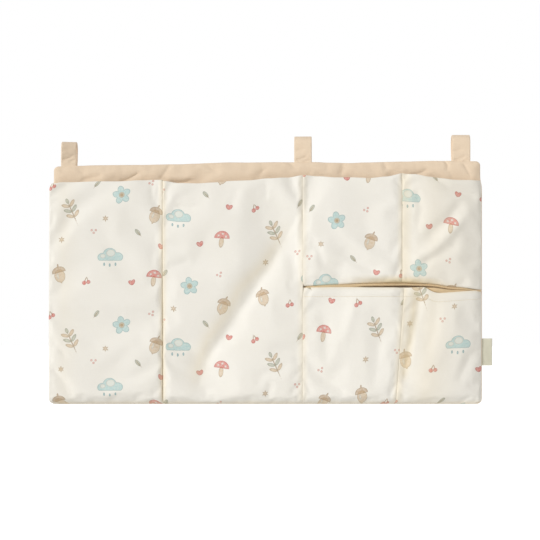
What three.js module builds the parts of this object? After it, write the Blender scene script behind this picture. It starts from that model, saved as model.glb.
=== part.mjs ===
// A padded bedside caddy of sewn cotton. A filled back panel hangs from a bed rail by three
// straps that close behind it with hook and loop tape, and six filled pockets are sewn to its
// front. Millimetres, +Z up, the pockets face -Y, and the rail's axis runs along X through the
// origin, half-way along the panel.
import * as THREE from 'three';

// Cloth and filling
const FABRIC = 0.6;              // one layer of cotton
const LAYER_GAP = 0.3;           // clearance between layers that touch
const PRESSED_FILLING = 0.6;     // filling held flat under a seam
const PANEL_FILLING = 7.2;
const POCKET_FILLING = 2.6;
const FILLING_RISE = 14;         // distance from a seam to the full height of the filling
const SEAM_FLAT = 2;             // strip beside a seam that stays flat and unfilled
const CORNER_RADIUS = 12;        // rounding of the panel's outer corners

// Pockets: four columns, the two on the right in an upper and a lower row
const LEFT_WIDTH = 158;
const CENTRE_WIDTH = 193;
const WIDE_WIDTH = 137;
const NARROW_WIDTH = 112;
const BAND_HEIGHT = 23;          // bare panel above the mouths
const UPPER_HEIGHT = 147;
const ROW_GAP = 4;               // bare panel between the upper feet and the lower mouths
const LOWER_HEIGHT = 156;
const SEAM_GAP = 2;              // bare panel between neighbouring pockets
const POCKET_ROOM = 9;           // depth inside a pocket where it stands open
const SIDE_BOW = 36;             // distance from a side seam to the full room
const FOOT_BOW = 48;             // distance from the foot seam to the full room
const HEM_DEPTH = 12;            // print turned inwards at the mouth
const LINING_ROLL = 2.5;         // lining that shows under an upper pocket's foot

// Seam thread between the pockets
const THREAD_WIDTH = 0.8;
const THREAD_HEIGHT = 0.6;

// Hanging straps
const RAIL_DIAMETER = 18;
const RAIL_CLEARANCE = 1;
const STRAP_WIDTH = 22;
const STRAP_THICKNESS = 1.6;
const STRAP_RISE = 35;           // top of the loop above the panel's top edge
const STRAP_INSET = 29;          // centre of an outer strap from the panel's side edge
const TAPE_THICKNESS = 1.5;
const TAPE_LENGTH = 28;
const TAPE_MARGIN = 1.5;         // strap that shows beside its tape
const TAPE_DROP = 17;            // top of the tapes below the panel's top edge
const STRAP_TAIL = 3;            // strap that hangs below its tape

// Label sewn into the right side seam
const LABEL_WIDTH = 14;
const LABEL_HEIGHT = 37;
const LABEL_THICKNESS = 1;
const LABEL_RISE = 51;           // lower edge above the panel's bottom edge

// Sizes that follow from those above
const PANEL_WIDTH = LEFT_WIDTH + CENTRE_WIDTH + WIDE_WIDTH + NARROW_WIDTH;
const PANEL_HEIGHT = BAND_HEIGHT + UPPER_HEIGHT + ROW_GAP + LOWER_HEIGHT;
const PANEL_THICKNESS = 2 * (FABRIC + LAYER_GAP) + PANEL_FILLING;
const HALF_WIDTH = PANEL_WIDTH / 2;
const CROWN_INNER = RAIL_DIAMETER / 2 + RAIL_CLEARANCE;
const CROWN_OUTER = CROWN_INNER + STRAP_THICKNESS;
const PANEL_MIDDLE_Y = -(CROWN_INNER + CROWN_OUTER) / 2;
const PANEL_REAR_Y = PANEL_MIDDLE_Y + PANEL_THICKNESS / 2;
const PANEL_TOP_Z = CROWN_OUTER - STRAP_RISE;

// In the panel's own space z is 0 at its top edge and depth counts forward from its rear face
const MOUTH_Z = -BAND_HEIGHT;
const UPPER_FOOT_Z = MOUTH_Z - UPPER_HEIGHT;
const LOWER_MOUTH_Z = UPPER_FOOT_Z - ROW_GAP;
const BOTTOM_Z = -PANEL_HEIGHT;
const LEFT_DIVIDER_X = LEFT_WIDTH - HALF_WIDTH;
const MIDDLE_DIVIDER_X = LEFT_DIVIDER_X + CENTRE_WIDTH;
const RIGHT_DIVIDER_X = MIDDLE_DIVIDER_X + WIDE_WIDTH;

const cloth = (color) => new THREE.MeshStandardMaterial({ color, roughness: 0.92, metalness: 0 });
const beigeCotton = cloth(0xe3d0b7);
const creamPrint = cloth(0xf0ebdf);
const whiteFilling = cloth(0xf7f6f2);
const creamThread = cloth(0xece6d6);
const beigeTape = cloth(0xd9c8ae);
const greyLabel = cloth(0xc6c4b3);

// A rise from 0 at a seam to 1 at the given distance, steep first and level at its end
function bow(distance, rise) {
  const t = THREE.MathUtils.clamp(distance / rise, 0, 1);
  return 1 - (1 - t) ** 2;
}

const edgeDistance = (value, low, high) => Math.min(value - low, high - value) - SEAM_FLAT;

// Thickness of the filling at a place on the panel
function panelFilling(x, z) {
  const sides = bow(edgeDistance(x, -HALF_WIDTH, HALF_WIDTH), FILLING_RISE);
  const ends = bow(edgeDistance(z, BOTTOM_Z, 0), FILLING_RISE);
  return PRESSED_FILLING + (PANEL_FILLING - PRESSED_FILLING) * sides * ends;
}

// The panel's rear and front draw in alike towards its edge seam
const panelRear = (x, z) => (PANEL_FILLING - panelFilling(x, z)) / 2;
const panelFront = (x, z) => PANEL_THICKNESS - panelRear(x, z);

// Rounds the panel's four corners by squeezing their squares into quarter discs
function roundedPlace(x, z) {
  const middleZ = BOTTOM_Z / 2;
  const cornerX = HALF_WIDTH - CORNER_RADIUS;
  const cornerZ = PANEL_HEIGHT / 2 - CORNER_RADIUS;
  const a = (Math.abs(x) - cornerX) / CORNER_RADIUS;
  const b = (Math.abs(z - middleZ) - cornerZ) / CORNER_RADIUS;
  if (a <= 0 || b <= 0) return [x, z];
  const roundX = cornerX + CORNER_RADIUS * a * Math.sqrt(1 - (b * b) / 2);
  const roundZ = cornerZ + CORNER_RADIUS * b * Math.sqrt(1 - (a * a) / 2);
  return [Math.sign(x) * roundX, middleZ + Math.sign(z - middleZ) * roundZ];
}

// Sorted places from low to high, without the ones outside or almost on top of each other
function stations(low, high, places) {
  const inside = places.filter((place) => place > low && place < high).sort((a, b) => a - b);
  const kept = [low];
  for (const place of [...inside, high]) {
    if (place - kept[kept.length - 1] > LAYER_GAP) kept.push(place);
    else if (place === high) kept[kept.length - 1] = high;
  }
  return kept;
}

// Places that follow a rise away from a seam, towards +1 or -1
const riseSteps = (seam, rise, way) =>
  [0, 0.5, 1].map((share) => seam + way * (SEAM_FLAT + share * rise));

const PANEL_X_STEPS = [...riseSteps(-HALF_WIDTH, FILLING_RISE, 1), 0,
  ...riseSteps(HALF_WIDTH, FILLING_RISE, -1)];
const PANEL_Z_STEPS = [...riseSteps(BOTTOM_Z, FILLING_RISE, 1), BOTTOM_Z / 2,
  ...riseSteps(0, FILLING_RISE, -1)];

// A closed solid swept along X through upright ribbons. At each x the ribbon has two chains of
// [depth, z] points, as long as each other. Faces that rise and faces that fall are split along
// the same diagonal, so that stacked layers lie on each other.
function loft(xs, ribbonAt) {
  const positions = [];
  const loops = xs.map((x) => {
    const [one, other] = ribbonAt(x);
    const loop = [...one, ...other.toReversed()];
    for (const [depth, z] of loop) {
      const [placeX, placeZ] = roundedPlace(x, z);
      positions.push(placeX, -depth, placeZ);
    }
    return loop;
  });
  const count = loops[0].length;
  const indices = [];
  for (let column = 0; column + 1 < xs.length; column += 1) {
    for (let i = 0; i < count; i += 1) {
      const next = (i + 1) % count;
      const a = column * count + i;
      const b = column * count + next;
      const rising = loops[column][next][1] > loops[column][i][1];
      if (rising) indices.push(a, b, b + count, a, b + count, a + count);
      else indices.push(a, b, a + count, b, b + count, a + count);
    }
  }
  const last = (xs.length - 1) * count;
  for (let i = 0; i + 1 < count / 2; i += 1) {
    const across = count - 1 - i;
    indices.push(i, across - 1, i + 1, i, across, across - 1);
    indices.push(last + i, last + i + 1, last + across - 1);
    indices.push(last + i, last + across - 1, last + across);
  }
  const geometry = new THREE.BufferGeometry();
  geometry.setAttribute('position', new THREE.Float32BufferAttribute(positions, 3));
  geometry.setIndex(indices);
  geometry.computeVertexNormals();
  return geometry;
}

// A layer of cloth or filling between a rear and a front depth
function layer(xs, zs, rear, front) {
  return loft(xs, (x) => [zs.map((z) => [rear(x, z), z]), zs.map((z) => [front(x, z), z])]);
}

// A layer whose top is turned over the filling and back down behind it
function hemmedLayer(xs, zs, hemZ, rear, front) {
  const mouth = zs[zs.length - 1];
  const underTop = (places) => [...places.slice(0, -1), mouth - FABRIC];
  const hem = zs.filter((z) => z >= hemZ);
  return loft(xs, (x) => [
    [...underTop(zs).map((z) => [front(x, z) - FABRIC, z]),
      ...underTop(hem).toReversed().map((z) => [rear(x, z) + FABRIC, z])],
    [...zs.map((z) => [front(x, z), z]),
      ...hem.toReversed().map((z) => [rear(x, z), z])],
  ]);
}

function addMesh(group, name, geometry, material) {
  const mesh = new THREE.Mesh(geometry, material);
  mesh.name = name;
  group.add(mesh);
  return mesh;
}

// Back panel: rear cover, filling and front lining
function addPanel(group) {
  const xs = stations(-HALF_WIDTH, HALF_WIDTH, PANEL_X_STEPS);
  const zs = stations(BOTTOM_Z, 0, PANEL_Z_STEPS);
  const fillX = stations(SEAM_FLAT - HALF_WIDTH, HALF_WIDTH - SEAM_FLAT, PANEL_X_STEPS);
  const fillZ = stations(BOTTOM_Z + SEAM_FLAT, -SEAM_FLAT, PANEL_Z_STEPS);
  const coverFront = (x, z) => panelRear(x, z) + FABRIC;
  const liningRear = (x, z) => panelFront(x, z) - FABRIC;
  addMesh(group, 'rear_cover', layer(xs, zs, panelRear, coverFront), beigeCotton);
  addMesh(group, 'panel_filling', layer(fillX, fillZ,
    (x, z) => coverFront(x, z) + LAYER_GAP, (x, z) => liningRear(x, z) - LAYER_GAP), whiteFilling);
  addMesh(group, 'front_lining', layer(xs, zs, liningRear, panelFront), beigeCotton);
}

// A line of thread that sews two neighbouring pockets to the panel
function addSeam(group, name, x, footZ, mouthZ) {
  const half = THREAD_WIDTH / 2;
  const rear = (_, z) => panelFront(x, z) + LAYER_GAP;
  const zs = stations(footZ + SEAM_FLAT, mouthZ, PANEL_Z_STEPS);
  addMesh(group, name, layer([x - half, x + half], zs, rear,
    (_, z) => rear(x, z) + THREAD_HEIGHT), creamThread);
}

// One pocket front: beige lining, filling and printed cotton with a hem along its mouth
function addPocket(group, name, [leftX, rightX], [footZ, mouthZ], liningRoll) {
  const low = leftX > -HALF_WIDTH ? leftX + SEAM_GAP / 2 : leftX;
  const high = rightX < HALF_WIDTH ? rightX - SEAM_GAP / 2 : rightX;
  const hemZ = mouthZ - HEM_DEPTH;

  const liningRear = (x, z) => {
    const sides = bow(edgeDistance(x, low, high), SIDE_BOW);
    const foot = bow(z - footZ - SEAM_FLAT, FOOT_BOW);
    return panelFront(x, z) + LAYER_GAP + POCKET_ROOM * sides * foot;
  };
  const fillingRear = (x, z) => liningRear(x, z) + FABRIC + LAYER_GAP;
  const fillingFront = (x, z) => {
    const sides = bow(edgeDistance(x, low, high), FILLING_RISE);
    const ends = bow(edgeDistance(z, footZ, mouthZ), FILLING_RISE);
    const raised = (POCKET_FILLING - PRESSED_FILLING) * sides * ends;
    return fillingRear(x, z) + PRESSED_FILLING + raised;
  };
  const printFront = (x, z) => fillingFront(x, z) + LAYER_GAP + FABRIC;

  const xSteps = [...PANEL_X_STEPS, (low + high) / 2];
  for (const rise of [FILLING_RISE, SIDE_BOW]) {
    xSteps.push(...riseSteps(low, rise, 1), ...riseSteps(high, rise, -1));
  }
  const zSteps = [...PANEL_Z_STEPS, ...riseSteps(footZ, FILLING_RISE, 1), hemZ,
    ...riseSteps(footZ, FOOT_BOW, 1), mouthZ - SEAM_FLAT - FILLING_RISE];
  const wholeX = stations(low, high, xSteps);
  const fillX = stations(low + SEAM_FLAT, high - SEAM_FLAT, xSteps);
  const liningZ = stations(footZ - liningRoll, hemZ - LAYER_GAP, [...zSteps, footZ]);
  const fillZ = stations(footZ + SEAM_FLAT, mouthZ - FABRIC - LAYER_GAP, zSteps);
  const printZ = stations(footZ, mouthZ, zSteps);

  addMesh(group, `${name}_lining`, layer(wholeX, liningZ, liningRear,
    (x, z) => liningRear(x, z) + FABRIC), beigeCotton);
  addMesh(group, `${name}_filling`, layer(fillX, fillZ, fillingRear, fillingFront), whiteFilling);
  addMesh(group, `${name}_print`,
    hemmedLayer(wholeX, printZ, hemZ, liningRear, printFront), creamPrint);
}

// Turns a side view, drawn as y across and z up, into a solid of the given width along X
function fromSideView(shape, width) {
  const geometry = new THREE.ExtrudeGeometry(shape, { depth: width, bevelEnabled: false });
  geometry.translate(0, 0, -width / 2);
  const across = new THREE.Vector3(0, 1, 0);
  const up = new THREE.Vector3(0, 0, 1);
  const along = new THREE.Vector3(1, 0, 0);
  return geometry.applyMatrix4(new THREE.Matrix4().makeBasis(across, up, along));
}

function sideRectangle(lowY, highY, lowZ, highZ) {
  const corners = [[lowY, lowZ], [highY, lowZ], [highY, highZ], [lowY, highZ]];
  return new THREE.Shape(corners.map(([y, z]) => new THREE.Vector2(y, z)));
}

// One hanging strap: a front leg with the crown over the rail, a rear leg and its tapes
function addStrap(group, name, x) {
  const strap = new THREE.Group();
  strap.position.x = x;
  group.add(strap);

  const rootZ = PANEL_TOP_Z + LAYER_GAP;
  const front = new THREE.Shape();
  front.moveTo(-CROWN_OUTER, rootZ);
  front.lineTo(-CROWN_INNER, rootZ);
  front.lineTo(-CROWN_INNER, 0);
  front.absarc(0, 0, CROWN_INNER, Math.PI, 0, true);
  front.lineTo(CROWN_OUTER, 0);
  front.absarc(0, 0, CROWN_OUTER, 0, Math.PI, false);
  addMesh(strap, `${name}_strap_front`, fromSideView(front, STRAP_WIDTH), beigeCotton);

  const tapeTopZ = PANEL_TOP_Z - TAPE_DROP;
  const tapeFootZ = tapeTopZ - TAPE_LENGTH;
  const hookY = PANEL_REAR_Y + LAYER_GAP;
  const loopY = hookY + TAPE_THICKNESS + LAYER_GAP;
  const legY = loopY + TAPE_THICKNESS + LAYER_GAP;
  const legSteps = 8;
  const inner = [];
  for (let i = 0; i <= legSteps; i += 1) {
    const share = i / legSteps;
    const y = THREE.MathUtils.lerp(CROWN_INNER, legY, THREE.MathUtils.smoothstep(share, 0, 1));
    inner.push(new THREE.Vector2(y, THREE.MathUtils.lerp(-LAYER_GAP, tapeTopZ, share)));
  }
  inner.push(new THREE.Vector2(legY, tapeFootZ - STRAP_TAIL));
  const outer = inner.map(({ x: y, y: z }) => new THREE.Vector2(y + STRAP_THICKNESS, z));
  const rear = new THREE.Shape([...inner, ...outer.toReversed()]);
  addMesh(strap, `${name}_strap_rear`, fromSideView(rear, STRAP_WIDTH), beigeCotton);

  const tapeWidth = STRAP_WIDTH - 2 * TAPE_MARGIN;
  for (const [tape, lowY] of [['loop_tape', loopY], ['hook_tape', hookY]]) {
    const outline = sideRectangle(lowY, lowY + TAPE_THICKNESS, tapeFootZ, tapeTopZ);
    addMesh(strap, `${name}_${tape}`, fromSideView(outline, tapeWidth), beigeTape);
  }
}

// Folded label whose sewn root is round, so that it can swing beside the seam
function addLabel(group) {
  const radius = LABEL_THICKNESS / 2;
  const outline = new THREE.Shape();
  outline.moveTo(LABEL_WIDTH, -radius);
  outline.lineTo(LABEL_WIDTH, radius);
  outline.lineTo(0, radius);
  outline.absarc(0, 0, radius, Math.PI / 2, 1.5 * Math.PI, false);
  const geometry = new THREE.ExtrudeGeometry(outline, { depth: LABEL_HEIGHT, bevelEnabled: false });
  const label = addMesh(group, 'side_label', geometry, greyLabel);
  label.position.set(HALF_WIDTH + LAYER_GAP + radius, -PANEL_THICKNESS / 2, BOTTOM_Z + LABEL_RISE);
}

const caddy = new THREE.Group();

const panel = new THREE.Group();
panel.position.set(0, PANEL_REAR_Y, PANEL_TOP_Z);
caddy.add(panel);
addPanel(panel);
addSeam(panel, 'left_divider_thread', LEFT_DIVIDER_X, BOTTOM_Z, MOUTH_Z);
addSeam(panel, 'middle_divider_thread', MIDDLE_DIVIDER_X, BOTTOM_Z, MOUTH_Z);
addSeam(panel, 'upper_divider_thread', RIGHT_DIVIDER_X, UPPER_FOOT_Z, MOUTH_Z);
addSeam(panel, 'lower_divider_thread', RIGHT_DIVIDER_X, BOTTOM_Z, LOWER_MOUTH_Z);

const tall = [BOTTOM_Z, MOUTH_Z];
const upper = [UPPER_FOOT_Z, MOUTH_Z];
const lower = [BOTTOM_Z, LOWER_MOUTH_Z];
const wide = [MIDDLE_DIVIDER_X, RIGHT_DIVIDER_X];
const narrow = [RIGHT_DIVIDER_X, HALF_WIDTH];
addPocket(panel, 'left_pocket', [-HALF_WIDTH, LEFT_DIVIDER_X], tall, 0);
addPocket(panel, 'centre_pocket', [LEFT_DIVIDER_X, MIDDLE_DIVIDER_X], tall, 0);
addPocket(panel, 'upper_wide_pocket', wide, upper, LINING_ROLL);
addPocket(panel, 'upper_narrow_pocket', narrow, upper, LINING_ROLL);
addPocket(panel, 'lower_wide_pocket', wide, lower, 0);
addPocket(panel, 'lower_narrow_pocket', narrow, lower, 0);
addLabel(panel);

addStrap(caddy, 'left', STRAP_INSET - HALF_WIDTH);
addStrap(caddy, 'middle', MIDDLE_DIVIDER_X);
addStrap(caddy, 'right', HALF_WIDTH - STRAP_INSET);

export default caddy;
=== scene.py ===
"""A bedside caddy of padded cotton: six printed pockets on a beige panel that hangs by three straps."""

from dataclasses import dataclass
from math import cos, exp, hypot, inf, pi, radians, sin

import bmesh
import bpy
from mathutils import Matrix, Vector, noise


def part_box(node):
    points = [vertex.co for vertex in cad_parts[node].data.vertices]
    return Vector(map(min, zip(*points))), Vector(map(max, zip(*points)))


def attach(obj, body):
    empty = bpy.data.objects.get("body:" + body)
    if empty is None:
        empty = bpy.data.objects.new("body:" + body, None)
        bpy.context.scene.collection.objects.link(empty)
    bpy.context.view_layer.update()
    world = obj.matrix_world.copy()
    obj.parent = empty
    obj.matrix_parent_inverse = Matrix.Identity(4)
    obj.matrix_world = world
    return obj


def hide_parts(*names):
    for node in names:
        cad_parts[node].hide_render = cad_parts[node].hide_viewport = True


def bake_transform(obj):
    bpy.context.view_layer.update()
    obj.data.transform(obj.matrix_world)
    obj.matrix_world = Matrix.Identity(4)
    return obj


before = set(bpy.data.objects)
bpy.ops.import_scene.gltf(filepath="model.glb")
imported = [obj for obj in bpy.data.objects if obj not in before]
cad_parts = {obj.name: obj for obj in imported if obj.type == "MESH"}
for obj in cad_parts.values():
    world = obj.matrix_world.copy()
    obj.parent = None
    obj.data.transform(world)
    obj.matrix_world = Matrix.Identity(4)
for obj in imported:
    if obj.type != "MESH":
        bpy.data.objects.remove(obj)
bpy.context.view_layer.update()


# Back panel. Two layers of plain beige cotton with a thin filling between them, sewn together all round.
# The rows of stitches that hold the pockets pass right through it and draw the filling in on the rear.

MM = 0.001


def middle_of(node):
    """Middle of a CAD node's box."""
    return sum(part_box(node), Vector()) / 2


lining_low, lining_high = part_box("front_lining")
PANEL_HALF = lining_high.x
PANEL_TOP, PANEL_FOOT = lining_high.z, lining_low.z
PANEL_HEIGHT = PANEL_TOP - PANEL_FOOT
PANEL_FRONT, PANEL_REAR = lining_low.y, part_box("rear_cover")[1].y
PANEL_MIDDLE = (PANEL_FRONT + PANEL_REAR) / 2
PANEL_FULL = PANEL_REAR - PANEL_FRONT
EDGE_HALF = 1.2 * MM
EDGE_REACH = 16 * MM
CORNER_RADIUS = 5.5 * MM
TOP_CORNER_RADIUS = 4.5 * MM
RIGHT_RISE = 6.5 * MM
LEFT_BAND_INSET = 6 * MM
RIGHT_BAND_INSET = 2.4 * MM
BAND_INSET_REACH = 14 * MM
FOOT_DROP = 1.5 * MM
EDGE_WAVE_REACH = 20 * MM
SEAM_PULL = 2.6 * MM
SEAM_REACH = 9 * MM
SEED_STEP = 7.3
left_divider, middle_divider, right_divider = (
    middle_of(place + "_divider_thread").x for place in ("left", "middle", "upper"))
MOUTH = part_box("left_pocket_print")[1].z
UPPER_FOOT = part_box("upper_wide_pocket_print")[0].z
STRAPS = ("left_strap", "middle_strap", "right_strap")
strap_places = [middle_of(strap + "_front").x for strap in STRAPS]


def ease(share):
    """A smooth step from 0 to 1."""
    share = min(max(share, 0.0), 1.0)
    return share * share * (3 - 2 * share)


def bulge(distance, reach):
    """How far filled cloth has risen this far from its seam, from 0 to 1."""
    share = min(max(distance / reach, 0.0), 1.0)
    return share * (2 - share)


def ripple(x, z, size, seed):
    """Soft unevenness of cloth, about -1 to 1, in lumps of this size."""
    return noise.noise(Vector((x / size, seed * SEED_STEP, z / size)))


def lifted(x, z):
    """Height of a point once the cloth hangs: the right-hand side is a little taller than the left."""
    right_share = (x + PANEL_HALF) / (2 * PANEL_HALF)
    return z + RIGHT_RISE * right_share * (z - PANEL_FOOT) / PANEL_HEIGHT


def fullness(x, z):
    """How far the panel's filling has risen here from the seam round its edge, from 0 to 1."""
    return bulge(min(PANEL_HALF - abs(x), PANEL_TOP - z, z - PANEL_FOOT), EDGE_REACH)


def panel_front(x, z):
    """Place of the panel's front face, before the cloth hangs."""
    half = PANEL_MIDDLE - PANEL_FRONT
    return PANEL_MIDDLE - EDGE_HALF - (half - EDGE_HALF) * fullness(x, z)


def seam_distance(x, z):
    """Distance to the nearest row of stitches that passes through the panel."""
    dividers = (left_divider, middle_divider, right_divider)
    beside = [abs(x - divider) + max(z - MOUTH, 0) for divider in dividers]
    return min(*beside, abs(z - UPPER_FOOT) + max(middle_divider - x, 0))


def panel_rear(x, z):
    """Place of the panel's rear face, drawn in along the stitches."""
    full = EDGE_HALF + (PANEL_REAR - PANEL_MIDDLE - EDGE_HALF) * fullness(x, z)
    pull = SEAM_PULL * (1 - bulge(seam_distance(x, z), SEAM_REACH)) * fullness(x, z)
    return PANEL_MIDDLE + full - pull


def pick(*pieces):
    """Selects these pieces and nothing else. The first one is the active one."""
    bpy.ops.object.select_all(action="DESELECT")
    for piece in reversed(pieces):
        piece.select_set(True)
        bpy.context.view_layer.objects.active = piece


def add_cloth(name, columns, rows):
    """A flat net of this many squares, one unit on each side, with its own cloth coordinates."""
    pick()
    bpy.ops.mesh.primitive_grid_add(x_subdivisions=columns, y_subdivisions=rows, size=1)
    cloth = bpy.context.object
    cloth.name = cloth.data.name = name
    return cloth


def crowd(share, amount):
    """Moves shares of a length towards its two ends, where cloth needs the most points."""
    return share - amount * sin(2 * pi * share) / (2 * pi)


def shape_cloth(cloth, place, flat, crowding=(0, 0)):
    """Moves each point of a net to its place, and makes its cloth coordinates the flat ones in metres."""
    shares = []
    for vertex in cloth.data.vertices:
        across = crowd(vertex.co.x + 0.5, crowding[0])
        along = crowd(vertex.co.y + 0.5, crowding[1])
        shares.append((across, along))
        vertex.co = place(across, along)
    coordinates = cloth.data.uv_layers.active.data
    for loop in cloth.data.loops:
        coordinates[loop.index].uv = flat(*shares[loop.vertex_index])
    return shares


def use_modifier(piece, kind, **settings):
    """Adds a modifier, sets it and applies it."""
    pick(piece)
    modifier = piece.modifiers.new(kind.title(), kind)
    for name, value in settings.items():
        setattr(modifier, name, value)
    bpy.ops.object.modifier_apply(modifier=modifier.name)


def round_off(piece):
    """Finishes a piece of cloth with one subdivision and smooth shading."""
    use_modifier(piece, "SUBSURF", levels=1, render_levels=1)
    piece.data.shade_smooth()


COTTON_FEEL = {
    "quality": 6, "mass": 0.3, "tension_stiffness": 25, "compression_stiffness": 25, "shear_stiffness": 12,
    "bending_stiffness": 8, "air_damping": 4, "use_pressure": True,
}


def settle(cloth, sewn, pressure, slack, reach, frames):
    """Lets spare cloth find its folds: a short cloth simulation that holds the sewn points."""
    group = cloth.vertex_groups.new(name="sewn")
    group.add([index for index, held in enumerate(sewn) if held], 1.0, "REPLACE")
    modifier = cloth.modifiers.new("Settle", "CLOTH")
    settings = modifier.settings
    for name, value in COTTON_FEEL.items():
        setattr(settings, name, value)
    settings.uniform_pressure_force = pressure
    settings.shrink_min = -slack
    settings.vertex_group_mass = group.name
    settings.effector_weights.gravity = 0
    modifier.point_cache.frame_start = 1
    modifier.point_cache.frame_end = frames
    for number in range(1, frames + 1):
        bpy.context.scene.frame_set(number)
    settled = cloth.evaluated_get(bpy.context.evaluated_depsgraph_get())
    moves = [after.co - before.co for before, after in zip(cloth.data.vertices, settled.data.vertices)]
    cloth.modifiers.remove(modifier)
    cloth.vertex_groups.remove(group)
    bpy.context.scene.frame_set(1)
    for vertex, move in zip(cloth.data.vertices, moves):
        if move.length > reach:
            move *= reach / move.length
        vertex.co += move


class Tone:
    """A shader socket that takes part in sums, so that a pattern is written as plain arithmetic."""

    def __init__(self, tree, socket):
        self.tree = tree
        self.socket = socket

    def node(self, kind, settings, sockets, output=0):
        """Adds any node: its settings are made first, then its sockets are filled or linked."""
        made = self.tree.nodes.new(kind)
        for name, value in settings.items():
            setattr(made, name, value)
        for place, value in sockets.items():
            if isinstance(value, Tone):
                self.tree.links.new(value.socket, made.inputs[place])
            else:
                made.inputs[place].default_value = value
        return Tone(self.tree, made.outputs[output])

    def maths(self, operation, *others, clamp=False):
        """A Math node whose first value is this socket."""
        settings = {"operation": operation, "use_clamp": clamp}
        return self.node("ShaderNodeMath", settings, dict(enumerate((self, *others))))

    def vector(self, operation, *others, output=0):
        """A Vector Math node whose first value is this socket."""
        values = dict(enumerate((self, *others)))
        return self.node("ShaderNodeVectorMath", {"operation": operation}, values, output)

    def __add__(self, other):
        return self.maths("ADD", other)

    __radd__ = __add__

    def __sub__(self, other):
        return self.maths("SUBTRACT", other)

    def __rsub__(self, other):
        return self.maths("MULTIPLY_ADD", -1.0, other)

    def __mul__(self, other):
        return self.maths("MULTIPLY", other)

    __rmul__ = __mul__

    def feed(self, node, name):
        """Links this socket to a named input of a node."""
        self.tree.links.new(self.socket, node.inputs[name])


def dye(red, green, blue):
    """A colour as read from the photograph, 0 to 255, as the linear colour that a shader takes."""
    shares = [value / 255 for value in (red, green, blue)]
    return tuple(v / 12.92 if v < 0.04045 else ((v + 0.055) / 1.055) ** 2.4 for v in shares) + (1.0,)


def start_finish(name, roughness, sheen=0.0):
    """A new material: itself, its shader, and the cloth coordinates that its pattern reads."""
    material = bpy.data.materials.new(name)
    material.use_nodes = True
    tree = material.node_tree
    shader = tree.nodes["Principled BSDF"]
    shader.inputs["Roughness"].default_value = roughness
    shader.inputs["Specular IOR Level"].default_value = 0.25
    shader.inputs["Sheen Weight"].default_value = sheen
    shader.inputs["Sheen Roughness"].default_value = 0.6
    place = Tone(tree, tree.nodes.new("ShaderNodeTexCoord").outputs["UV"])
    return material, shader, place


def speckle(place, size, detail=2.0, stretch=(1.0, 1.0, 1.0)):
    """Fine random variation from 0 to 1, in spots of this size."""
    scaled = place.vector("MULTIPLY", stretch)
    return place.node("ShaderNodeTexNoise", {}, {"Vector": scaled, "Scale": 1 / size, "Detail": detail})


def mixed(first, second, share):
    """Colour between two others, by a share from 0 to 1."""
    return share.node("ShaderNodeMix", {"data_type": "RGBA"}, {0: share, 6: first, 7: second}, output=2)


def emboss(shader, height, depth, strength=1.0):
    """Raises a surface's relief by this depth."""
    relief = {"Strength": strength, "Distance": depth, "Height": height}
    height.node("ShaderNodeBump", {}, relief).feed(shader, "Normal")


def parts(point):
    """The first two coordinates of a point."""
    split = point.node("ShaderNodeSeparateXYZ", {}, {0: point}).socket.node
    return [Tone(point.tree, split.outputs[index]) for index in (0, 1)]


THREAD_PITCH = 0.55 * MM
SLUB_SIZE, HAND_SIZE = 1.6 * MM, 9 * MM
SLUB_STRETCHES = ((1.0, 0.12, 1.0), (0.12, 1.0, 1.0))
FINE_DETAIL = 3.0
CROSSING_RISE, HAND_RISE = 0.25, 1.4
WEAVE_STRENGTH = 0.55
PATCH_SIZE = 40 * MM
SLUB_TONE, PATCH_TONE, TONE_LEVEL = 0.45, 0.5, 0.4


def add_weave(place, shader, depth, slub):
    """Relief of a plain weave: crossing threads, slubs along them and a soft hand. Gives back the slubs."""
    turns = {0: place, "Scale": 2 * pi / THREAD_PITCH}
    warp, weft = parts(place.node("ShaderNodeVectorMath", {"operation": "SCALE"}, turns).vector("SINE"))
    along_warp, along_weft = (speckle(place, SLUB_SIZE, FINE_DETAIL, stretch) for stretch in SLUB_STRETCHES)
    slubs = along_warp + along_weft
    threads = warp * weft * CROSSING_RISE + slubs * slub
    emboss(shader, threads + speckle(place, HAND_SIZE, FINE_DETAIL) * HAND_RISE, depth, WEAVE_STRENGTH)
    return slubs


def add_cotton(name, tone, shade):
    """Plain woven cotton: two close tones in slubs and in larger soft patches."""
    cotton, shader, place = start_finish(name, roughness=0.85, sheen=0.15)
    slubs = add_weave(place, shader, depth=0.35 * MM, slub=0.5)
    share = slubs * SLUB_TONE + speckle(place, PATCH_SIZE) * PATCH_TONE - TONE_LEVEL
    mixed(tone, shade, share).feed(shader, "Base Color")
    return cotton


beige_cotton = add_cotton("beige cotton", dye(243, 223, 198), dye(233, 210, 184))


FOLD_CURVE = 1.6
FOLD_FADE, FOLD_END = 5, 0.25
LAST_SHARE = 0.9999


def fold_depth(folds, x, z):
    """How deep the folds of a piece are here. A fold is a line of points, its depth, and how far it reaches
    on the left and on the right of the line, all in millimetres. A depth below 0 is a ridge."""
    total = 0.0
    for points, depth, left_reach, right_reach in folds:
        nearest, side, place = inf, 1.0, 0.0
        for index, ((x0, z0), (x1, z1)) in enumerate(zip(points, points[1:])):
            run_x, run_z = x1 - x0, z1 - z0
            share = ((x - x0) * run_x + (z - z0) * run_z) / (run_x ** 2 + run_z ** 2)
            share = min(max(share, 0.0), 1.0)
            distance = hypot(x - x0 - share * run_x, z - z0 - share * run_z)
            if distance < nearest:
                nearest, place = distance, (index + share) / (len(points) - 1)
                side = run_x * (z - z0) - run_z * (x - x0)
        fall = 1 - nearest / (left_reach if side > 0 else right_reach)
        if fall > 0:
            total += depth * fall ** FOLD_CURVE * ease(min(place, 1 - place) * FOLD_FADE + FOLD_END)
    return total


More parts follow.
